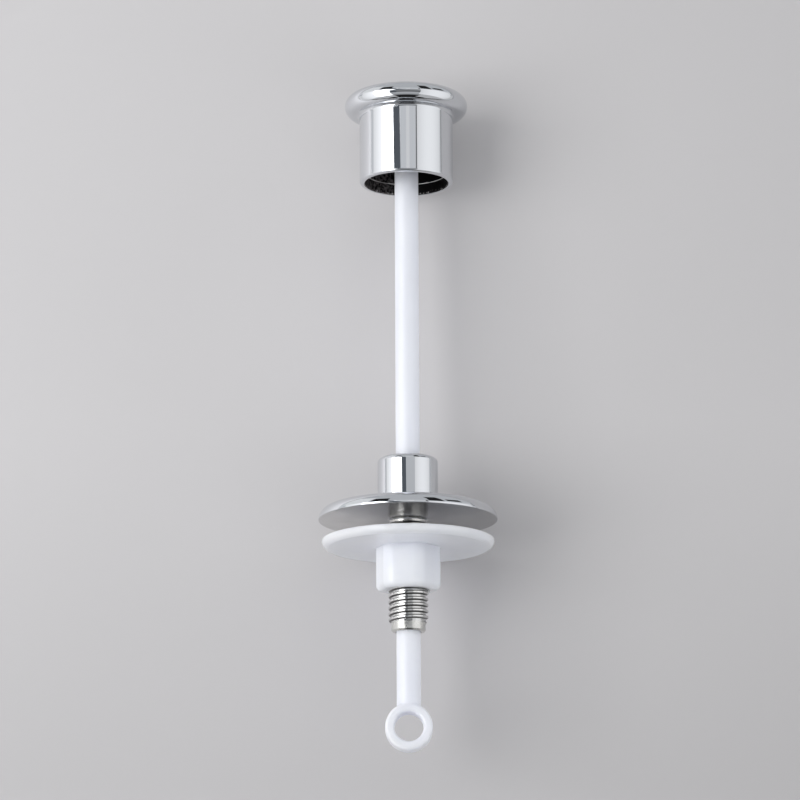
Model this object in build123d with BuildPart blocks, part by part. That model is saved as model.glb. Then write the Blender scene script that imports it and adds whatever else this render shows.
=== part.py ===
from build123d import *
from math import asin, cos, degrees, radians, sin
import os

# Cistern pull knob: a cup knob on a lift rod that slides through a guide clamped in the cistern lid.
# Millimetres, +Z up. The origin is on the rod's axis, on the guide's flat underside, where the lid seats.

# Lift rod and the eye at its lower end
rod_d = 6.0
eye_drop = 52.0           # from the lid seat down to the eye's centre
eye_hole_d = 7.2
eye_wall = 2.25
eye_cheek = 0.1           # of the eye past the rod, front and back
eye_edge_r = 0.8
eye_blend_r = 0.6         # where the rod runs into the eye
spigot_shoulder = 0.6     # step down to the rod's upper end
spigot_length = 6.0

# Lid guide
flange_d = 44.6
flange_land = 0.15        # upright edge above the seat
dome_edge_r = 2.9
dome_crown_angle = 13.0   # slope where the edge's curve runs into the crown
dome_crown_r = 120.0
nose_wall = 4.35
nose_height = 15.7
nose_edge_r = 1.2
neck_length = 0.9
neck_depth = 0.5
thread_d = 10.0           # over the crests of a 1.5 mm pitch
thread_end = 26.0         # from the lid seat down to the end of the thread
thread_chamfer = 0.7
pilot_depth = 0.75
pilot_length = 2.2
pilot_chamfer = 0.4
bore_chamfer = 0.4

# Pull knob
mouth_height = 87.13      # from the lid seat up to the knob's mouth, raised as it is shown
cup_d = 23.74
cup_wall = 1.4
lip_outer_r = 0.65
lip_inner_r = 0.3
step_height = 2.8         # from the mouth up to the step in the cup
step_width = 0.3
rim_hollow_r = 0.8        # where the cup runs out into the rim
rim_shelf = 0.4           # flat under the rim, from the hollow to the bead
rim_bead_r = 2.55
crown_r = 90.0
roof_drop = 0.8           # from the rim's widest level down to the roof's underside
boss_wall = 2.4
boss_length = 7.3

# Lock nut
nut_gap = 4.97            # from the lid seat down to the nut's flange
nut_flange_d = 42.9
nut_flange_thickness = 2.15
nut_rim_r = 1.75
nut_rim_top_r = 0.3
hub_sides = 6
hub_wall = 2.4            # at the flats
hub_height = 10.7
hub_corner_r = 3.5
hub_edge_r = 1.4
hub_turn = -10.0          # of a flat, away from the front
nut_chamfer = 0.3

# Clearances
rod_clearance = 0.2       # on the radius, of the rod in the guide
thread_clearance = 0.1    # on the radius, of the nut over the thread
spigot_clearance = 0.03   # on the radius, of the rod's end in the boss
spigot_end_gap = 0.4
nose_headroom = 1.72      # between the nose and the boss with the knob down

# Radii
rod_r = rod_d / 2
spigot_r = rod_r - spigot_shoulder
eye_middle_r = (eye_hole_d + eye_wall) / 2
bore_r = rod_r + rod_clearance
nose_r = bore_r + nose_wall
thread_r = thread_d / 2
pilot_r = thread_r - pilot_depth
neck_r = thread_r - neck_depth
neck_fillet_r = neck_depth + thread_clearance    # ends outside the thread, so a lid's hole seats flat
nut_bore_r = thread_r + thread_clearance
cup_r = cup_d / 2
mouth_r = cup_r - cup_wall
boss_r = spigot_r + boss_wall
bead_centre_r = cup_r + rim_hollow_r + rim_shelf

# The dome's section: a tight curve up from the edge, then a crown that runs up to the nose
dome_edge_run = dome_edge_r * (1 - sin(radians(dome_crown_angle)))
dome_edge_rise = flange_land + dome_edge_r * cos(radians(dome_crown_angle))
crown_run = flange_d / 2 - dome_edge_run - nose_r
nose_foot_angle = degrees(asin(sin(radians(dome_crown_angle)) - crown_run / dome_crown_r))
crown_rise = dome_crown_r * (cos(radians(nose_foot_angle)) - cos(radians(dome_crown_angle)))
nose_foot = dome_edge_rise + crown_rise

# Levels of the knob, which is deep enough to take the nose
boss_level = mouth_height + nose_height - nose_foot + nose_headroom
roof_level = boss_level + boss_length
rim_level = roof_level + roof_drop
crown_angle = degrees(asin(bead_centre_r / (crown_r - rim_bead_r)))
bead_top = rim_level + rim_bead_r * cos(radians(crown_angle))
knob_top = bead_top + crown_r * (1 - cos(radians(crown_angle)))


with BuildPart() as pull_rod:
    rod_foot = eye_middle_r - eye_drop
    with BuildSketch(Plane.XY.offset(rod_foot)):
        Circle(rod_r)
    extrude(amount=boss_level - rod_foot)
    with BuildSketch(Plane.XY.offset(boss_level)):
        Circle(spigot_r)
    extrude(amount=spigot_length)
    # The eye is a ring of rounded section that faces the front
    with BuildSketch(Plane.XY.offset(-eye_drop)):
        with Locations((eye_middle_r, 0)):
            RectangleRounded(eye_wall, rod_d + 2 * eye_cheek, eye_edge_r)
    revolve(axis=Axis((0, 0, -eye_drop), (0, 1, 0)))
    fillet(pull_rod.edges(Select.NEW), eye_blend_r)
pull_rod.part.label = "pull_rod"


with BuildPart() as lid_guide:
    with BuildSketch(Plane.XZ):
        with BuildLine():
            seat = Line((neck_r + neck_fillet_r, 0), (flange_d / 2, 0))
            land = Line(seat @ 1, (flange_d / 2, flange_land))
            dome_edge = JernArc(land @ 1, (0, 1), dome_edge_r, 90 - dome_crown_angle)
            dome = JernArc(dome_edge @ 1, dome_edge % 1, dome_crown_r, dome_crown_angle - nose_foot_angle)
            Polyline(
                dome @ 1,
                (nose_r, nose_height),
                (0, nose_height),
                (0, -thread_end - pilot_length),
                (pilot_r, -thread_end - pilot_length),
                (pilot_r, -thread_end),
                (thread_r - thread_chamfer, -thread_end),
                (thread_r, thread_chamfer - thread_end),
                (thread_r, -neck_length - neck_depth),
                (neck_r, -neck_length),
                (neck_r, -neck_fillet_r),
            )
            TangentArc((neck_r, -neck_fillet_r), seat @ 0, tangent=(0, 1))
        make_face()
    revolve(axis=Axis.Z)
    fillet(lid_guide.faces().sort_by(Axis.Z)[-1].edges(), nose_edge_r)
    chamfer(lid_guide.faces().sort_by(Axis.Z)[0].edges(), pilot_chamfer)
    Hole(bore_r)
    chamfer(lid_guide.faces().sort_by(Axis.Z)[-1].inner_wires()[0].edges(), bore_chamfer)
lid_guide.part.label = "lid_guide"


with BuildPart() as pull_knob:
    step_r = mouth_r - step_width
    step_level = mouth_height + step_height
    with BuildSketch(Plane.XZ):
        with BuildLine():
            wall = Line((cup_r, mouth_height), (cup_r, rim_level - rim_bead_r - rim_hollow_r))
            hollow = JernArc(wall @ 1, (0, 1), rim_hollow_r, -90)
            shelf = Line(hollow @ 1, (bead_centre_r, rim_level - rim_bead_r))
            bead = JernArc(shelf @ 1, (1, 0), rim_bead_r, 180 - crown_angle)
            crown = TangentArc(bead @ 1, (0, knob_top), tangent=bead % 1)
            Polyline(
                crown @ 1,
                (0, boss_level),
                (boss_r, boss_level),
                (boss_r, roof_level),
                (step_r, roof_level),
                (step_r, step_level),
                (mouth_r, step_level),
                (mouth_r, mouth_height),
                wall @ 0,
            )
        make_face()
    revolve(axis=Axis.Z)
    fillet(pull_knob.faces().sort_by(Axis.Z)[0].outer_wire().edges(), lip_outer_r)
    fillet(pull_knob.faces().sort_by(Axis.Z)[0].inner_wires()[0].edges(), lip_inner_r)
    with Locations(Plane((0, 0, boss_level), z_dir=(0, 0, -1))):
        Hole(spigot_r + spigot_clearance, depth=spigot_length + spigot_end_gap)
pull_knob.part.label = "pull_knob"


with BuildPart() as lock_nut:
    with BuildSketch(Plane.XY.offset(-nut_gap)):
        Circle(nut_flange_d / 2)
    extrude(amount=-nut_flange_thickness)
    fillet(lock_nut.faces().sort_by(Axis.Z)[0].edges(), nut_rim_r)
    fillet(lock_nut.faces().sort_by(Axis.Z)[-1].edges(), nut_rim_top_r)
    with BuildSketch(Plane.XY.offset(-nut_gap - nut_flange_thickness)) as hub:
        RegularPolygon(nut_bore_r + hub_wall, hub_sides, major_radius=False, rotation=hub_turn)
        fillet(hub.vertices(), hub_corner_r)
    extrude(amount=-hub_height)
    fillet(lock_nut.faces().sort_by(Axis.Z)[0].edges(), hub_edge_r)
    with Locations((0, 0, -nut_gap)):
        Hole(nut_bore_r)
    chamfer(lock_nut.faces().sort_by(Axis.Z)[-1].inner_wires()[0].edges(), nut_chamfer)
    chamfer(lock_nut.faces().sort_by(Axis.Z)[0].inner_wires()[0].edges(), nut_chamfer)
lock_nut.part.label = "lock_nut"


os.makedirs("parts", exist_ok=True)
export_step(pull_rod.part, "parts/pull_rod.step")
export_step(lid_guide.part, "parts/lid_guide.step")
export_step(pull_knob.part, "parts/pull_knob.step")
export_step(lock_nut.part, "parts/lock_nut.step")
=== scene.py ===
import bpy
import bmesh
from math import asin, ceil, cos, degrees, hypot, pi, radians, sin, tan
from mathutils import Matrix, Vector


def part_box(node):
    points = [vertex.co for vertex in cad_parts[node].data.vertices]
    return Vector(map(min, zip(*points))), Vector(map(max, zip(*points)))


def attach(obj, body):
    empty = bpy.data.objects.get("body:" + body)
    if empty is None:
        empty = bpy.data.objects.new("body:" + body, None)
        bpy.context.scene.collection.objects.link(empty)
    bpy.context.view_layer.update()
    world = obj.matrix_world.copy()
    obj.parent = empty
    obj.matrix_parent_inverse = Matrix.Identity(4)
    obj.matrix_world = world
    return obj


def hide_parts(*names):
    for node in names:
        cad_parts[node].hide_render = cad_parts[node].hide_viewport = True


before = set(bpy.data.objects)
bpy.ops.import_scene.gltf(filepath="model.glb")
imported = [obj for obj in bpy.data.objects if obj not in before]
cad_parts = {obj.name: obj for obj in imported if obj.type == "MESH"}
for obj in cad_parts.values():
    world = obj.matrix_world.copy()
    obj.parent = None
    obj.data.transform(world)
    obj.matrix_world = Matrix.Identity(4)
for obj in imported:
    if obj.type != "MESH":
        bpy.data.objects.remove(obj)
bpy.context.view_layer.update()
mm = 0.001              # pieces are drawn in millimetres and scaled when they are done
weldGap = 0.0005        # points closer than this become one, in millimetres
near = 0.01             # slack when faces and edges are picked by their place, in millimetres
creaseAngle = 32        # edges that turn by more stay sharp, in degrees


# shader maths as sums on sockets

class Wire:
    def __init__(self, tree, socket=None):
        self.tree = tree
        self.socket = socket

    def node(self, kind, settings=None, feeds=None, out=0):
        made = self.tree.nodes.new("ShaderNode" + kind)
        for name, value in (settings or {}).items():
            if name == "stops":
                self.setStops(made.color_ramp.elements, value)
            else:
                setattr(made, name, value)
        for key, value in (feeds or {}).items():
            self.feed(made.inputs[key], value)
        return Wire(self.tree, made.outputs[out])

    def setStops(self, elements, stops):
        while len(elements) < len(stops):
            elements.new(0.5)
        for element, (position, colour) in zip(elements, stops):
            element.position = position
            element.color = (*colour, 1)

    def feed(self, socket, value):
        if isinstance(value, Wire):
            self.tree.links.new(value.socket, socket)
        elif socket.type == "RGBA":
            socket.default_value = (*value, 1)
        else:
            socket.default_value = value

    def maths(self, operation, first, second=0.0):
        return self.node("Math", {"operation": operation}, {0: first, 1: second})

    def __add__(self, other):
        return self.maths("ADD", self, other)

    def __radd__(self, other):
        return self.maths("ADD", other, self)

    def __sub__(self, other):
        return self.maths("SUBTRACT", self, other)

    def __rsub__(self, other):
        return self.maths("SUBTRACT", other, self)

    def __mul__(self, other):
        return self.maths("MULTIPLY", self, other)

    def __rmul__(self, other):
        return self.maths("MULTIPLY", other, self)

    def __truediv__(self, other):
        return self.maths("DIVIDE", self, other)

    def __pow__(self, other):
        return self.maths("POWER", self, other)


def newFinish(name, colour, roughness, metallic=0.0):
    finish = bpy.data.materials.new(name)
    finish.use_nodes = True
    shader = finish.node_tree.nodes["Principled BSDF"]
    shader.inputs["Base Color"].default_value = (*colour, 1)
    shader.inputs["Roughness"].default_value = roughness
    shader.inputs["Metallic"].default_value = metallic
    place = Wire(finish.node_tree).node("TexCoord", out="Object")
    return finish, shader, place


def splitPlace(place):
    parts = place.node("SeparateXYZ", feeds={0: place}).socket.node.outputs
    return [Wire(place.tree, part) for part in parts]


def radiusOf(first, second):
    return (first * first + second * second) ** 0.5


def noise(place, scale, detail):
    return place.node("TexNoise", feeds={"Vector": place, "Scale": scale, "Detail": detail}, out="Fac")


def ramp(value, low, high, toLow=0.0, toHigh=1.0):
    return value.node("MapRange", feeds={0: value, 1: low, 2: high, 3: toLow, 4: toHigh})


def patches(place, grain, band):
    return ramp(noise(place, *grain), *band)


def mixColour(factor, low, high):
    return factor.node("Mix", {"data_type": "RGBA"}, {0: factor, 6: low, 7: high}, out=2)


def tint(level, colour):
    return level.node("VectorMath", {"operation": "SCALE"}, {0: colour, "Scale": level})


def bump(shader, height, strength, depth):
    made = height.node("Bump", feeds={"Strength": strength, "Distance": depth, "Height": height})
    height.feed(shader.inputs["Normal"], made)


# finishes, in metres: a noise is its scale and detail, a Band where a ramp starts and ends,
# and a Bump its strength and depth

def makeChrome():
    chrome = {
        "colour": (0.70, 0.715, 0.74), "roughness": 0.03, "haze": 0.05,
        "smear": (90.0, 4.0), "smearBand": (0.45, 0.75),
        "ripple": (700.0, 1.0), "rippleBump": (0.05, 0.00002),
    }
    finish, shader, place = newFinish("bright_chrome", chrome["colour"], chrome["roughness"], metallic=1.0)
    smear = patches(place, chrome["smear"], chrome["smearBand"])
    place.feed(shader.inputs["Roughness"], smear * chrome["haze"] + chrome["roughness"])
    bump(shader, noise(place, *chrome["ripple"]), *chrome["rippleBump"])
    return finish


def makeTurnedFace():
    face = {
        # the darker right-hand colour is painted shade and reflected shadow on the underside
        "colour": (0.66, 0.65, 0.645), "dull": (0.58, 0.57, 0.565), "paintedShadeRight": (0.44, 0.435, 0.435),
        "roughness": 0.13, "haze": 0.08, "cloud": (160.0, 4.0), "cloudBand": (0.35, 0.7),
        "paintedShadeBand": (0.004, 0.017), "ringPitch": 0.00035, "ringShare": 0.1,
        "grain": (2400.0, 3.0), "grainBump": (0.35, 0.00004),
    }
    finish, shader, place = newFinish("turned_underside", face["colour"], face["roughness"], metallic=1.0)
    x, y = splitPlace(place)[:2]
    cloud = patches(place, face["cloud"], face["cloudBand"])
    cloudy = mixColour(cloud, face["colour"], face["dull"])
    paintedShade = ramp(x, *face["paintedShadeBand"])    # painted shade and reflected shadow: darker to the right
    place.feed(shader.inputs["Base Color"], mixColour(paintedShade, cloudy, face["paintedShadeRight"]))
    place.feed(shader.inputs["Roughness"], cloud * face["haze"] + face["roughness"])
    rings = place.maths("SINE", radiusOf(x, y) * (2 * pi / face["ringPitch"]))
    bump(shader, rings * face["ringShare"] + noise(place, *face["grain"]), *face["grainBump"])
    return finish


def makeThreadMetal():
    thread = {
        # the flank colour is painted shade and dark reflection on the flanks; the roots are dimmed a little
        # as painted shade too
        "colour": (0.78, 0.78, 0.77), "flank": (0.16, 0.158, 0.152), "roughness": 0.1, "flankHaze": 0.25,
        "crestBand": (0.00475, 0.0049), "rootBand": (0.0044, 0.00432), "rootShare": 0.85,
        "grime": (900.0, 3.0), "grimeBand": (0.3, 0.7, 0.8, 1.0),
        "gapShadeTopBand": (-0.0018, -0.0026), "gapShadeFootBand": (-0.0100, -0.0080), "gapShadeShare": 0.6,
        "pitting": (2600.0, 3.0), "pittingBump": (0.2, 0.00005),
    }
    finish, shader, place = newFinish("nickel_thread", thread["colour"], thread["roughness"], metallic=1.0)
    x, y, z = splitPlace(place)
    radius = radiusOf(x, y)
    crest = ramp(radius, *thread["crestBand"])
    root = ramp(radius, *thread["rootBand"]) * thread["rootShare"]
    bright = place.maths("MAXIMUM", crest, root)
    grime = patches(place, thread["grime"], thread["grimeBand"])
    gapShade = ramp(z, *thread["gapShadeTopBand"]) * ramp(z, *thread["gapShadeFootBand"])    # painted shade in the gap under the flange, where the nut runs
    # bright on crest and root, painted dark on the flanks and in the gap under the flange, and dimmed at
    # random by grime
    litAndClean = bright * grime * (1 - gapShade * thread["gapShadeShare"])
    place.feed(shader.inputs["Base Color"], mixColour(litAndClean, thread["flank"], thread["colour"]))
    place.feed(shader.inputs["Roughness"], (1 - bright) * thread["flankHaze"] + thread["roughness"])
    bump(shader, noise(place, *thread["pitting"]), *thread["pittingBump"])
    return finish


def makeShankMetal():
    shank = {
        "colour": (0.70, 0.695, 0.67), "roughness": 0.2, "haze": 0.1,
        "cloud": (700.0, 3.0), "cloudBand": (0.35, 0.7), "ringPitch": 0.0003, "ringBump": (0.08, 0.00001),
    }
    finish, shader, place = newFinish("nickel_shank", shank["colour"], shank["roughness"], metallic=1.0)
    z = splitPlace(place)[2]
    cloud = patches(place, shank["cloud"], shank["cloudBand"])
    place.feed(shader.inputs["Roughness"], cloud * shank["haze"] + shank["roughness"])
    bump(shader, place.maths("SINE", z * (2 * pi / shank["ringPitch"])), *shank["ringBump"])
    return finish


# the hollow inside the knob: painted shade, with painted light at its left and bare specks at the lip
def makePaintedShadeInside():
    inside = {
        # the near-black colour is painted shade for the deep hollow; the paler patch colour is painted
        # light towards the left
        "colour": (0.008, 0.0075, 0.008), "paintedLightPatches": (0.26, 0.24, 0.24), "bare": (0.62, 0.61, 0.60),
        "roughness": 0.45, "haze": 0.2, "metallic": 0.92,
        "cloud": (1400.0, 5.0), "cloudBand": (0.42, 0.7), "litLeftBand": (0.003, -0.006),
        "specks": (2400.0, 2.0), "speckBand": (0.60, 0.66), "bareFrom": 0.0009, "bareTo": 0.0002,
        "pitting": (1800.0, 4.0), "pittingBump": (0.4, 0.0001),
    }
    finish, shader, place = newFinish(
        "painted_shade_inside", inside["colour"], inside["roughness"], inside["metallic"])
    x, z = splitPlace(place)[::2]
    cloud = patches(place, inside["cloud"], inside["cloudBand"])
    paintedLightPatches = cloud * ramp(x, *inside["litLeftBand"])    # painted light: paler patches at the left, painted shade at the right
    dark = mixColour(paintedLightPatches, inside["colour"], inside["paintedLightPatches"])
    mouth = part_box("pull_knob")[0][2]
    atLip = ramp(z, mouth + inside["bareFrom"], mouth + inside["bareTo"])
    specks = patches(place, inside["specks"], inside["speckBand"]) * atLip
    place.feed(shader.inputs["Base Color"], mixColour(specks, dark, inside["bare"]))
    place.feed(shader.inputs["Roughness"], cloud * inside["haze"] + inside["roughness"])
    bump(shader, noise(place, *inside["pitting"]), *inside["pittingBump"])
    return finish


def makePaintedHighlightEdge():
    edge = {
        # the bright colour is a painted highlight along the step's edge in the shaded hollow; the darker
        # patch colour breaks it into parts
        "colour": (0.85, 0.84, 0.83), "paintedLightPatches": (0.30, 0.29, 0.285), "roughness": 0.4, "metallic": 0.6,
        "highlightBreaks": (350.0, 3.0), "highlightBreaksBand": (0.42, 0.58),
    }
    finish, shader, place = newFinish(
        "painted_highlight_step_edge", edge["colour"], edge["roughness"], edge["metallic"])
    # painted highlight, broken into bright and darker parts
    brokenHighlight = patches(place, edge["highlightBreaks"], edge["highlightBreaksBand"])
    place.feed(shader.inputs["Base Color"], mixColour(brokenHighlight, edge["colour"], edge["paintedLightPatches"]))
    return finish


def whiteMoulding(name, plastic):
    finish, shader, place = newFinish(name, plastic["colour"], plastic["roughness"])
    shader.inputs["Subsurface Weight"].default_value = plastic["glow"]    # light soaks in a little way
    shader.inputs["Subsurface Radius"].default_value = (1.0, 1.0, 1.0)
    shader.inputs["Subsurface Scale"].default_value = plastic["glowDepth"]
    along = place.node("Mapping", feeds={"Vector": place, "Scale": plastic["stretch"]})
    flow = noise(along, *plastic["flow"])
    shade = mixColour(ramp(flow, *plastic["flowBand"]), plastic["colour"], plastic["shade"])
    place.feed(shader.inputs["Base Color"], shade)
    place.feed(shader.inputs["Roughness"], flow * plastic["haze"] + plastic["roughness"])
    bump(shader, noise(place, *plastic["grain"]), *plastic["grainBump"])
    return finish


def makeRodPlastic():
    plastic = {
        "colour": (0.86, 0.873, 0.985), "shade": (0.835, 0.85, 0.965), "roughness": 0.34, "haze": 0.1,
        "glow": 0.9, "glowDepth": 0.003, "flow": (300.0, 3.0), "stretch": (1, 1, 0.12),
        "flowBand": (0.4, 0.7), "grain": (2200.0, 2.0), "grainBump": (0.08, 0.00003),
    }
    return whiteMoulding("satin_white_rod", plastic)


def makeNutPlastic():
    plastic = {
        "colour": (0.87, 0.888, 0.995), "shade": (0.845, 0.865, 0.98), "roughness": 0.09, "haze": 0.06,
        "glow": 0.9, "glowDepth": 0.003, "flow": (180.0, 3.0), "stretch": (1, 1, 1),
        "flowBand": (0.4, 0.7), "grain": (1400.0, 2.0), "grainBump": (0.06, 0.00003),
    }
    return whiteMoulding("gloss_white_nut", plastic)


finishes = {
    "chrome": makeChrome(),
    "underside": makeTurnedFace(),
    "thread": makeThreadMetal(),
    "shank": makeShankMetal(),
    "inside": makePaintedShadeInside(),
    "stepEdge": makePaintedHighlightEdge(),
    "rod": makeRodPlastic(),
    "nut": makeNutPlastic(),
}
print("finishes:", ", ".join(finishes))


# drawing: a pen walks a section in the XZ plane, and the section is spun about Z

def allOf(bm):
    return bm.verts[:] + bm.edges[:] + bm.faces[:]


def onlyVerts(geom):
    return [g for g in geom if isinstance(g, bmesh.types.BMVert)]


def drawSection(bm, start, moves):
    pen = bm.verts.new((start[0], 0, start[1]))
    for kind, x, z, *sweep in moves:
        if kind == "to":
            pen = bmesh.ops.extrude_vert_indiv(bm, verts=[pen])["verts"][0]
            pen.co = (x, 0, z)
        else:    # an arc about (x, z), anticlockwise as seen from the front
            angle, steps = sweep
            swung = bmesh.ops.spin(
                bm, geom=[pen], cent=(x, 0, z), axis=(0, -1, 0), angle=radians(angle), steps=steps)
            pen = onlyVerts(swung["geom_last"])[0]


def lathe(bm, steps):
    bmesh.ops.spin(
        bm, geom=allOf(bm), cent=(0, 0, 0), axis=(0, 0, 1), angle=2 * pi, steps=steps, use_merge=True)
    bmesh.ops.remove_doubles(bm, verts=bm.verts, dist=weldGap)


def meshObject(bm, name, materials):
    mesh = bpy.data.meshes.new(name)
    bm.to_mesh(mesh)
    bm.free()
    for material in materials:
        mesh.materials.append(material)
    made = bpy.data.objects.new(name, mesh)
    bpy.context.collection.objects.link(made)
    return made


def finishPiece(bm, name, node, body, looks):
    bmesh.ops.recalc_face_normals(bm, faces=bm.faces)
    for face in bm.faces:
        face.smooth = True
    for edge in bm.edges:
        edge.smooth = not (edge.is_manifold and edge.calc_face_angle() > radians(creaseAngle))
    bmesh.ops.scale(bm, vec=(mm, mm, mm), verts=bm.verts)
    piece = meshObject(bm, name, [finishes[look] for look in looks])
    weighted = piece.modifiers.new("cleanShading", "WEIGHTED_NORMAL")
    weighted.keep_sharp = True
    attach(piece, body)
    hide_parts(node)
    print(name, "faces:", len(piece.data.polygons))


def boxMm(node):
    low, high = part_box(node)
    return Vector(low) / mm, Vector(high) / mm


def facePlace(face):    # how far out and how high its middle is
    middle = face.calc_center_median()
    return hypot(middle.x, middle.y), middle.z


# pull knob

def makeKnob():
    knob = {
        "cupR": 11.87, "wall": 1.4, "lipOuter": 0.65, "lipInner": 0.3,
        "stepHeight": 2.8, "stepWidth": 0.3, "stepEdge": 0.09, "hollowR": 0.8, "beadR": 2.55,
        "crownR": 90.0, "roofDrop": 0.8, "bossR": 4.8, "bossLength": 7.3,
        "socketR": 2.43, "socketDepth": 6.4, "softEdge": 0.35, "turns": 224,
    }
    looks = ["chrome", "inside", "stepEdge"]
    low, high = boxMm("pull_knob")
    mouth, top, beadX = low.z, high.z, high.x - knob["beadR"]
    cupR, mouthR = knob["cupR"], knob["cupR"] - knob["wall"]
    stepR, stepZ = mouthR - knob["stepWidth"], mouth + knob["stepHeight"]
    crownAngle = degrees(asin(beadX / (knob["crownR"] - knob["beadR"])))
    crownRise = knob["crownR"] * (1 - cos(radians(crownAngle)))
    rimZ = top - crownRise - knob["beadR"] * cos(radians(crownAngle))
    roofZ = rimZ - knob["roofDrop"]
    bossZ = roofZ - knob["bossLength"]
    hollowR, outer, inner, soft = knob["hollowR"], knob["lipOuter"], knob["lipInner"], knob["softEdge"]
    socketR, socketZ, stepEdge = knob["socketR"], bossZ + knob["socketDepth"], knob["stepEdge"]

    bm = bmesh.new()
    drawSection(bm, (0, top), [
        ("arc", 0, top - knob["crownR"], -crownAngle, 20),
        ("arc", beadX, rimZ, crownAngle - 180, 48),
        ("to", cupR + hollowR, rimZ - knob["beadR"]),
        ("arc", cupR + hollowR, rimZ - knob["beadR"] - hollowR, 90, 16),
        ("to", cupR, mouth + outer),
        ("arc", cupR - outer, mouth + outer, -90, 10),
        ("to", mouthR + inner, mouth),
        ("arc", mouthR + inner, mouth + inner, -90, 6),
        ("to", mouthR, stepZ),
        ("to", stepR + stepEdge, stepZ),
        ("arc", stepR + stepEdge, stepZ + stepEdge, -90, 4),
        ("to", stepR, roofZ - soft),
        ("arc", stepR - soft, roofZ - soft, 90, 6),
        ("to", knob["bossR"] + soft, roofZ),
        ("arc", knob["bossR"] + soft, roofZ - soft, 90, 6),
        ("to", knob["bossR"], bossZ + soft),
        ("to", knob["bossR"] - soft, bossZ),
        ("to", socketR + soft, bossZ),
        ("to", socketR, bossZ + soft),
        ("to", socketR, socketZ),
        ("to", 0, socketZ),
    ])
    lathe(bm, knob["turns"])
    for face in bm.faces:
        r, z = facePlace(face)
        if r < mouthR + inner and mouth + near < z < socketZ + near:
            # faces on the step's edge get the painted highlight, the rest of the hollow the painted shade
            onEdge = stepZ - near < z < stepZ + stepEdge and r > stepR - near
            face.material_index = looks.index("stepEdge" if onEdge else "inside")
    finishPiece(bm, "pull_knob_cup", "pull_knob", "pull", looks)


# lid guide: domed flange and nose above, threaded shank below

def makeThreadTube(thread, top, bottom):
    bm = bmesh.new()
    pitch, flat, flank = thread["pitch"], thread["flat"], thread["pitch"] / 2 - thread["flat"]
    root, crest, soft, halfSoft = thread["rootR"], thread["crestR"], thread["soft"], thread["soft"] / 2
    start = bottom - 2 * pitch + thread["phase"]    # it starts below its end, and is cut to length
    crestFoot, crestHead = start + flat + flank, start + flat * 2 + flank
    drawSection(bm, (root, start), [
        ("to", root, start + flat),
        ("to", crest - soft, crestFoot - halfSoft),
        ("to", crest, crestFoot + halfSoft),
        ("to", crest, crestHead - halfSoft),
        ("to", crest - soft, crestHead + halfSoft),
        ("to", root, start + pitch),
    ])
    steps = thread["stepsPerTurn"]
    bmesh.ops.spin(    # right-handed: it climbs as it turns anticlockwise
        bm, geom=allOf(bm), cent=(0, 0, 0), axis=(0, 0, 1),
        dvec=(0, 0, pitch / steps), angle=2 * pi, steps=steps)
    oneTurn = allOf(bm)
    for count in range(1, ceil((top - start) / pitch) + 1):
        copied = bmesh.ops.duplicate(bm, geom=oneTurn)["geom"]
        bmesh.ops.translate(bm, verts=onlyVerts(copied), vec=(0, 0, pitch * count))
    bmesh.ops.remove_doubles(bm, verts=bm.verts, dist=weldGap)
    for vert in bm.verts:    # the crests run out at both ends
        r = hypot(vert.co.x, vert.co.y)
        limit = min(thread["neckR"] + top - vert.co.z, thread["leadR"] + vert.co.z - bottom)
        if r > limit:
            squeeze = max(limit, root * thread["deepestShare"]) / r
            vert.co.x *= squeeze
            vert.co.y *= squeeze
    for level, side in ((top, 1), (bottom, -1)):
        bmesh.ops.bisect_plane(
            bm, geom=allOf(bm), plane_co=(0, 0, level), plane_no=(0, 0, side), clear_outer=True)
    mesh = bpy.data.meshes.new("threadTube")
    bm.to_mesh(mesh)
    bm.free()
    return mesh


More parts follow.
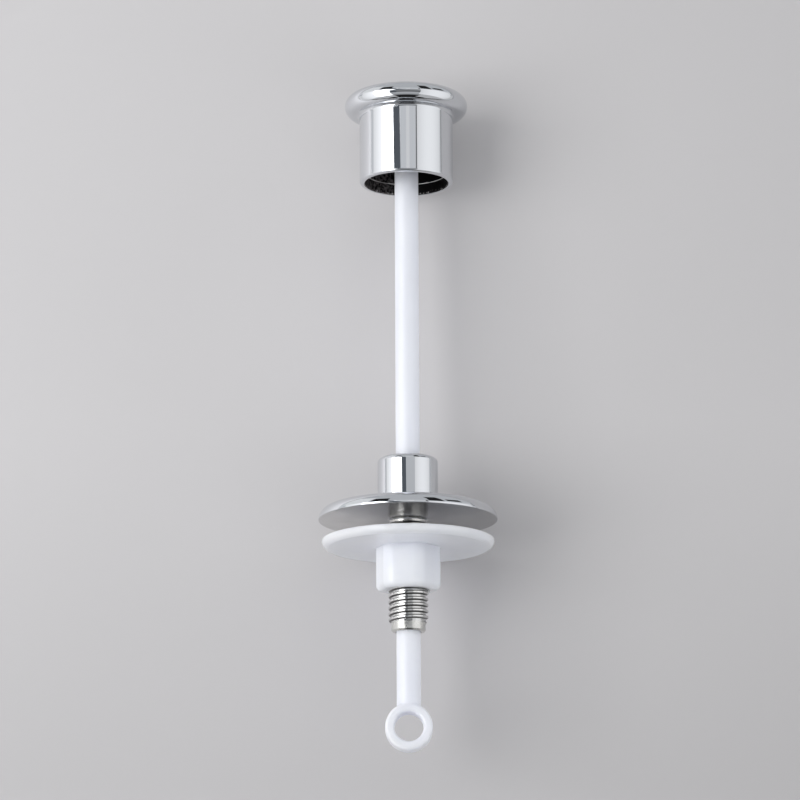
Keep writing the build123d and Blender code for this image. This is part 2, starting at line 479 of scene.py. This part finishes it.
def makeGuide():
    guide = {
        "boreR": 3.2, "noseWall": 4.35, "noseEdge": 1.2, "noseFootFillet": 0.4, "boreChamfer": 0.4,
        "land": 0.15, "domeEdgeR": 2.9, "domeCrownSlope": 13.0, "domeCrownR": 120.0,
        "neckEnd": -0.9, "neckFillet": 0.6, "threadEnd": -26.0, "pilotR": 4.25, "pilotChamfer": 0.4,
        "edgeBreak": 0.1, "turns": 224,
    }
    thread = {
        "pitch": 1.5, "crestR": 5.0, "rootR": 4.3, "flat": 0.42, "soft": 0.07, "phase": 0.5,
        "neckR": 4.5, "leadR": 4.3, "deepestShare": 0.98, "stepsPerTurn": 96, "join": 0.08,
    }
    looks = ["chrome", "underside", "thread", "shank"]
    low, high = boxMm("lid_guide")
    shankEnd, noseTop, flangeR = low.z, high.z, high.x
    neckEnd, threadEnd, join = guide["neckEnd"], guide["threadEnd"], thread["join"]
    boreR, noseR = guide["boreR"], guide["boreR"] + guide["noseWall"]
    pilotR, neckR, neckFillet = guide["pilotR"], thread["neckR"], guide["neckFillet"]
    edge, bite, chamfer = guide["noseEdge"], guide["boreChamfer"], guide["pilotChamfer"]
    crownSlope = radians(guide["domeCrownSlope"])
    edgeX, edgeZ = flangeR - guide["domeEdgeR"], guide["land"]
    crownX = edgeX + (guide["domeEdgeR"] - guide["domeCrownR"]) * sin(crownSlope)
    crownZ = edgeZ + (guide["domeEdgeR"] - guide["domeCrownR"]) * cos(crownSlope)
    fillet = guide["noseFootFillet"]    # rolls between the nose's side and the crown
    filletX = noseR + fillet
    footSlope = asin((filletX - crownX) / (guide["domeCrownR"] + fillet))
    filletZ = crownZ + (guide["domeCrownR"] + fillet) * cos(footSlope)

    bm = bmesh.new()
    drawSection(bm, (pilotR, threadEnd - join), [
        ("to", pilotR, shankEnd + chamfer),
        ("to", pilotR - chamfer, shankEnd),
        ("to", boreR, shankEnd),
        ("to", boreR, noseTop - bite),
        ("to", boreR + bite, noseTop),
        ("to", noseR - edge, noseTop),
        ("arc", noseR - edge, noseTop - edge, -90, 14),
        ("to", noseR, filletZ),
        ("arc", filletX, filletZ, 90 - degrees(footSlope), 8),
        ("arc", crownX, crownZ, degrees(footSlope - crownSlope), 16),
        ("arc", edgeX, edgeZ, guide["domeCrownSlope"] - 90, 28),
        ("to", flangeR, 0),
        ("to", neckR + neckFillet, 0),
        ("arc", neckR + neckFillet, -neckFillet, 90, 6),
        ("to", neckR, neckEnd + join),
    ])
    rimCorner = [v for v in bm.verts if v.co.x > flangeR - near and v.co.z < near]
    bmesh.ops.bevel(
        bm, geom=rimCorner, offset=guide["edgeBreak"], affect="VERTICES",
        segments=3, profile=0.5, material=-1)
    lathe(bm, guide["turns"])
    tube = makeThreadTube(thread, neckEnd, threadEnd)
    bm.from_mesh(tube)
    bpy.data.meshes.remove(tube)
    openEdges = [e for e in bm.edges if e.is_boundary]
    for upper in (True, False):
        loops = [e for e in openEdges if (e.verts[0].co.z > (neckEnd + threadEnd) / 2) == upper]
        bmesh.ops.bridge_loops(bm, edges=loops)
    for face in bm.faces:
        r, z = facePlace(face)
        if threadEnd < z < neckEnd:
            face.material_index = looks.index("thread")
        elif z < -near:
            face.material_index = looks.index("shank")
        elif z < near and neckR < r < flangeR - guide["edgeBreak"]:
            face.material_index = looks.index("underside")
    finishPiece(bm, "lid_guide_casting", "lid_guide", "guide", looks)


# lock nut: a round flange with a hexagonal hub below it

def makeNut():
    nut = {
        "boreR": 5.1, "flangeThickness": 2.15, "rimR": 1.75, "rimTopR": 0.3, "chamfer": 0.3,
        "hubSides": 6, "acrossFlats": 15.0, "cornerR": 3.5, "cornerShare": 0.5773, "cornerSteps": 12,
        "hubEdgeR": 1.4, "hubTurn": -10.0, "hubFillet": 0.15, "turns": 192,
    }
    low, high = boxMm("lock_nut")
    hubEnd, top, flangeR = low.z, high.z, high.x
    under = top - nut["flangeThickness"]
    boreR, chamfer, rim, rimTop = nut["boreR"], nut["chamfer"], nut["rimR"], nut["rimTopR"]
    halfSide = pi / nut["hubSides"]    # half the angle of a side
    hubR = nut["acrossFlats"] / 2 / cos(halfSide)
    ringR = hubR + nut["hubFillet"]

    bm = bmesh.new()
    drawSection(bm, (boreR + chamfer, hubEnd), [
        ("to", boreR, hubEnd + chamfer),
        ("to", boreR, top - chamfer),
        ("to", boreR + chamfer, top),
        ("to", flangeR - rimTop, top),
        ("arc", flangeR - rimTop, top - rimTop, -90, 6),
        ("to", flangeR, under + rim),
        ("arc", flangeR - rim, under + rim, -90, 16),
        ("to", ringR, under),
    ])
    lathe(bm, nut["turns"])

    # the hub grows down from a hexagon with round corners
    turned = Matrix.Rotation(radians(nut["hubTurn"]) + halfSide, 4, "Z") @ Matrix.Translation((0, 0, under))
    hexagon = bmesh.ops.create_circle(
        bm, cap_ends=False, segments=nut["hubSides"], radius=hubR, matrix=turned)["verts"]
    rounded = bmesh.ops.bevel(
        bm, geom=hexagon, offset=nut["cornerR"] * nut["cornerShare"], affect="VERTICES",
        segments=nut["cornerSteps"], profile=0.5, material=-1)
    baseLoop = list({e for v in rounded["verts"] for e in v.link_edges})
    drawn = bmesh.ops.extrude_edge_only(bm, edges=baseLoop)["geom"]
    dropped = onlyVerts(drawn)
    bmesh.ops.translate(bm, verts=dropped, vec=(0, 0, hubEnd - under))
    lowLoop = [g for g in drawn if isinstance(g, bmesh.types.BMEdge) and all(v in dropped for v in g.verts)]
    bmesh.ops.contextual_create(bm, geom=lowLoop)
    bmesh.ops.recalc_face_normals(bm, faces=bm.faces)
    bmesh.ops.bevel(
        bm, geom=lowLoop, offset=nut["hubEdgeR"], affect="EDGES", segments=8, profile=0.5, material=-1)
    hubFloor = [f for f in bm.faces if len(f.verts) > nut["cornerSteps"]]
    bmesh.ops.delete(bm, geom=hubFloor, context="FACES_ONLY")

    # bridged to the flange above and to the bore below
    openEdges = [e for e in bm.edges if e.is_boundary]
    for level in (under, hubEnd):
        loops = [e for e in openEdges if all(abs(v.co.z - level) < near for v in e.verts)]
        bmesh.ops.bridge_loops(bm, edges=loops)
    bmesh.ops.recalc_face_normals(bm, faces=bm.faces)
    bmesh.ops.bevel(
        bm, geom=baseLoop, offset=nut["hubFillet"], affect="EDGES", segments=4, profile=0.5, material=-1)
    finishPiece(bm, "lock_nut_moulding", "lock_nut", "nut", ["nut"])


makeKnob()
makeGuide()
makeNut()

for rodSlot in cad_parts["pull_rod"].material_slots:
    rodSlot.material = finishes["rod"]
print("rod finish set")


# backdrop board behind the part, clear towards its edges and from behind

def setStage():
    stage = {
        "boardTilt": 3.6, "boardBack": 22.6, "boardSize": 700.0, "fadeBand": (0.17, 0.30),
        "boardColour": (0.612, 0.597, 0.600), "boardRoughness": 0.6,
        "sideBand": (-0.1, 0.1), "toLeft": 1.13, "toRight": 0.97, "footBand": (0.03, -0.06), "toFoot": 0.85,
        "leftBand": (-0.02, -0.1), "leftInMetal": 1.4, "rightBand": (0.01, 0.06), "rightInMetal": 0.9,
    }
    bm = bmesh.new()
    leant = Matrix.Rotation(pi / 2 + radians(stage["boardTilt"]), 4, "X")
    upright = Matrix.Translation((0, stage["boardBack"], 0)) @ leant
    bmesh.ops.create_grid(bm, x_segments=1, y_segments=1, size=stage["boardSize"] / 2, matrix=upright)
    bmesh.ops.scale(bm, vec=(mm, mm, mm), verts=bm.verts)

    finish, shader, place = newFinish("pale_board", stage["boardColour"], stage["boardRoughness"])
    x, z = splitPlace(place)[::2]
    # painted light falloff: the board is brighter at the left, darker at the right and towards the foot
    across = ramp(x, *stage["sideBand"], stage["toLeft"], stage["toRight"])
    down = ramp(z, *stage["footBand"], 1.0, stage["toFoot"])
    glossy = place.node("LightPath", out="Is Glossy Ray")    # painted reflection: glossy rays see the board brighter at the left and darker at the right
    atLeft = ramp(x, *stage["leftBand"], 0.0, stage["leftInMetal"] - 1)
    atRight = ramp(x, *stage["rightBand"], 0.0, stage["rightInMetal"] - 1)
    inMetal = 1 + glossy * (atLeft + atRight)
    place.feed(shader.inputs["Base Color"], tint(across * down * inMetal, stage["boardColour"]))
    edgeFade = ramp(radiusOf(x, z), *stage["fadeBand"])
    fromBehind = place.node("NewGeometry", out="Backfacing")
    hidden = place.maths("MAXIMUM", edgeFade, fromBehind)
    matt = Wire(place.tree, shader.outputs[0])
    clear = place.node("BsdfTransparent")
    shown = place.node("MixShader", feeds={0: hidden, 1: matt, 2: clear})
    place.feed(finish.node_tree.nodes["Material Output"].inputs[0], shown)
    board = meshObject(bm, "board", [finish])
    setSky(stage["boardColour"])


def setSky(background):
    sky = {
        "tint": (0.97, 0.99, 1.02), "mattBand": (-0.35, 0.35), "mattBelow": 1.5, "mattAbove": 0.95,
        "levels": [    # elevation in degrees, and the radiance there
            (-90, 0.02), (-58, 0.015), (-52, 0.10), (-46, 0.42), (-22, 0.55), (-16, 0.13), (-10, 0.15),
            (0, 0.33), (8, 0.35), (12, 0.60), (14, 0.68), (20, 0.72), (27, 0.66), (32, 0.56), (90, 0.56),
        ],
    }
    world = bpy.data.worlds.new("studio")
    world.use_nodes = True
    bpy.context.scene.world = world
    tree = world.node_tree
    tree.nodes.clear()
    wire = Wire(tree)
    height = splitPlace(wire.node("TexCoord", out="Generated"))[2]
    stops = []
    for elevation, level in sky["levels"]:
        stops.append((0.5 + 0.5 * sin(radians(elevation)), [level * part for part in sky["tint"]]))
    shade = wire.node("ValToRGB", {"stops": stops}, {0: height * 0.5 + 0.5})
    glossy = wire.node("LightPath", out="Is Glossy Ray")    # matt surfaces get more from below
    onMatt = ramp(height, *sky["mattBand"], sky["mattBelow"], sky["mattAbove"])
    room = wire.node("Background", feeds={0: shade, 1: glossy + (1 - glossy) * onMatt})
    pale = wire.node("Background", feeds={0: background})
    seen = wire.node("LightPath", out="Is Camera Ray")
    output = tree.nodes.new("ShaderNodeOutputWorld")
    wire.feed(output.inputs[0], wire.node("MixShader", feeds={0: seen, 1: room, 2: pale}))


# lamps light the part and cards show in its metal: each stands round it, given by the azimuths and
# elevations that it spans in degrees and by how far off it is in metres

def addLamp(name, azimuths, elevations, radiance, colour=(1.0, 1.0, 1.0)):
    reach = 3.0
    outward = Matrix.Rotation(radians(sum(azimuths) / 2), 3, "Z") @ Vector((0, -1, 0))
    low, high = (reach * tan(radians(angle)) for angle in elevations)
    width = 2 * reach * tan(radians(azimuths[1] - azimuths[0]) / 2)
    lamp = bpy.data.lights.new(name, "AREA")
    lamp.shape = "RECTANGLE"
    lamp.size, lamp.size_y = width, high - low
    lamp.energy = radiance * pi * width * (high - low)
    lamp.color = colour
    stand = bpy.data.objects.new(name, lamp)
    turned = outward.to_track_quat("Z", "Y").to_matrix().to_4x4()
    stand.matrix_world = Matrix.Translation(outward * reach + Vector((0, 0, (low + high) / 2))) @ turned
    stand.visible_camera = False
    stand.visible_glossy = False
    bpy.context.collection.objects.link(stand)


def addCard(name, azimuths, elevations, level, lean=0.0, reach=3.0, colour=(0.985, 0.99, 1.0)):
    first, middle, span = (radians(a) for a in (azimuths[0], sum(azimuths) / 2, azimuths[1] - azimuths[0]))
    low, high = (reach * tan(radians(angle)) for angle in elevations)
    bm = bmesh.new()
    foot = bm.verts.new((0, -reach, low))
    head = bm.verts.new((0, -reach, high))
    bm.edges.new((foot, head))
    bmesh.ops.rotate(bm, verts=bm.verts, cent=(0, 0, 0), matrix=Matrix.Rotation(first, 3, "Z"))
    bmesh.ops.spin(bm, geom=allOf(bm), cent=(0, 0, 0), axis=(0, 0, 1), angle=span, steps=12)
    heads = [v for v in bm.verts if v.co.z > (low + high) / 2]
    bmesh.ops.rotate(bm, verts=heads, cent=(0, 0, 0), matrix=Matrix.Rotation(radians(lean), 3, "Z"))

    finish, shader, place = newFinish(name + "_card", (0, 0, 0), 1.0)
    if isinstance(level, tuple):    # at the left, in the middle and at the right
        atLeft, atMiddle, atRight = level
        x, y = splitPlace(place)[:2]
        across = (place.maths("ARCTAN2", x, 0 - y) - middle) / (span / 2)
        slope, bend = (atRight - atLeft) / 2, (atLeft + atRight) / 2 - atMiddle
        glow = tint(atMiddle + across * slope + across * across * bend, colour)
    else:
        glow = [level * part for part in colour]
    place.feed(shader.inputs["Emission Color"], glow)
    shader.inputs["Emission Strength"].default_value = 1.0
    card = meshObject(bm, name, [finish])
    card.visible_camera = False
    card.visible_diffuse = False
    card.visible_shadow = False


def setLights():
    cool = (0.97, 0.98, 1.0)
    lamps = {
        "leftKey": {"azimuths": (-65, -26), "elevations": (-20, 10), "radiance": 4.6},
        "leftFloor": {"azimuths": (-100, -80), "elevations": (-50, -20), "radiance": 1.6},
        "rightSide": {"azimuths": (70, 100), "elevations": (-50, 40), "radiance": 1.2, "colour": cool},
        "rightFloor": {"azimuths": (20, 45), "elevations": (-50, 8), "radiance": 0.25, "colour": cool},
    }
    softbox = {"level": 3.3}
    doorway = {"level": 0.12, "reach": 2.9, "colour": (0.82, 0.92, 1.06)}
    edge = {"elevations": (16.5, 30), "reach": 2.9}
    dark = {"level": 0.01, "reach": 2.9}
    cards = {
        "softboxLow": {"azimuths": (-62, -31), "elevations": (-48, 8), **softbox},
        "softboxHigh": {"azimuths": (-62, -36), "elevations": (8, 22), **softbox},
        "softboxLean": {"azimuths": (-40, -11), "elevations": (8, 22), "lean": -25, **softbox},
        "doorwayLow": {"azimuths": (-29, -18), "elevations": (-20, 8), **doorway},
        "doorwayLean": {"azimuths": (-17.5, -1), "elevations": (8, 25), "lean": -23.5, **doorway},
        "doorJamb": {"azimuths": (-18.4, -14.8), "elevations": (16.5, 25), "level": 1.15, "reach": 2.85},
        "doorGap": {"azimuths": (0, 8), "elevations": (16.5, 25), "level": 0.80},
        "leftReflector": {"azimuths": (-88.5, -62), "elevations": (-50, 22), "level": (0.95, 1.17, 1.4)},
        "leftTop": {"azimuths": (-95, -55), "elevations": (22, 55), "level": 0.87},
        "leftGap": {"azimuths": (-97, -88.5), "elevations": (-50, 9), "level": 0.8},
        "rightGap": {"azimuths": (90, 97), "elevations": (-40, 9), "level": 0.6},
        "leftLow": {"azimuths": (-95, -30), "elevations": (-72, -48), "level": 0.55},
        "rightCard": {"azimuths": (27, 90), "elevations": (-40, 22), "level": (0.86, 1.08, 0.86)},
        "rightLow": {"azimuths": (34, 95), "elevations": (-70, -40), "level": 0.55},
        "cardEdge": {"azimuths": (23.5, 26.5), "level": 0.2, **edge},
        "cardFarEdge": {"azimuths": (93.5, 98), "level": 0.3, **edge},
        "darkAboveLeft": {"azimuths": (-52, -27), "elevations": (23, 47), **dark},
        "darkAboveRight": {"azimuths": (28, 50), "elevations": (25, 58), **dark},
        "darkFarRight": {"azimuths": (56, 80), "elevations": (30, 42), **dark},
    }
    for name, settings in lamps.items():
        addLamp(name, **settings)
    for name, settings in cards.items():
        addCard(name, **settings)


def setCamera():
    shot = {
        "imageSize": 800, "focalPixels": 3834.0, "pitch": 13.3, "roll": 0.25,
        "range": 0.9534, "originPixel": (408.0, 520.3), "sensor": 36.0, "clip": (0.01, 20.0),
    }
    pitch, roll = radians(shot["pitch"]), radians(shot["roll"])
    forward = Vector((0, cos(pitch), sin(pitch)))
    levelUp = Vector((0, -sin(pitch), cos(pitch)))
    across = Vector((cos(roll), 0, 0)) - levelUp * sin(roll)
    up = levelUp * cos(roll) + Vector((sin(roll), 0, 0))
    perPixel = shot["range"] / shot["focalPixels"]
    toRight, toFoot = ((pixel - shot["imageSize"] / 2) * perPixel for pixel in shot["originPixel"])
    toOrigin = forward * shot["range"] + across * toRight - up * toFoot
    lens = bpy.data.cameras.new("studioCamera")
    lens.sensor_width = shot["sensor"]
    lens.lens = shot["sensor"] * shot["focalPixels"] / shot["imageSize"]
    lens.clip_start, lens.clip_end = shot["clip"]
    camera = bpy.data.objects.new("studioCamera", lens)
    bpy.context.collection.objects.link(camera)
    turned = Matrix((across, up, -forward)).transposed().to_4x4()
    camera.matrix_world = Matrix.Translation(-toOrigin) @ turned
    bpy.context.scene.camera = camera


setStage()
setLights()
setCamera()
bpy.context.scene.view_settings.view_transform = "Standard"
print("stage, lights and camera set")
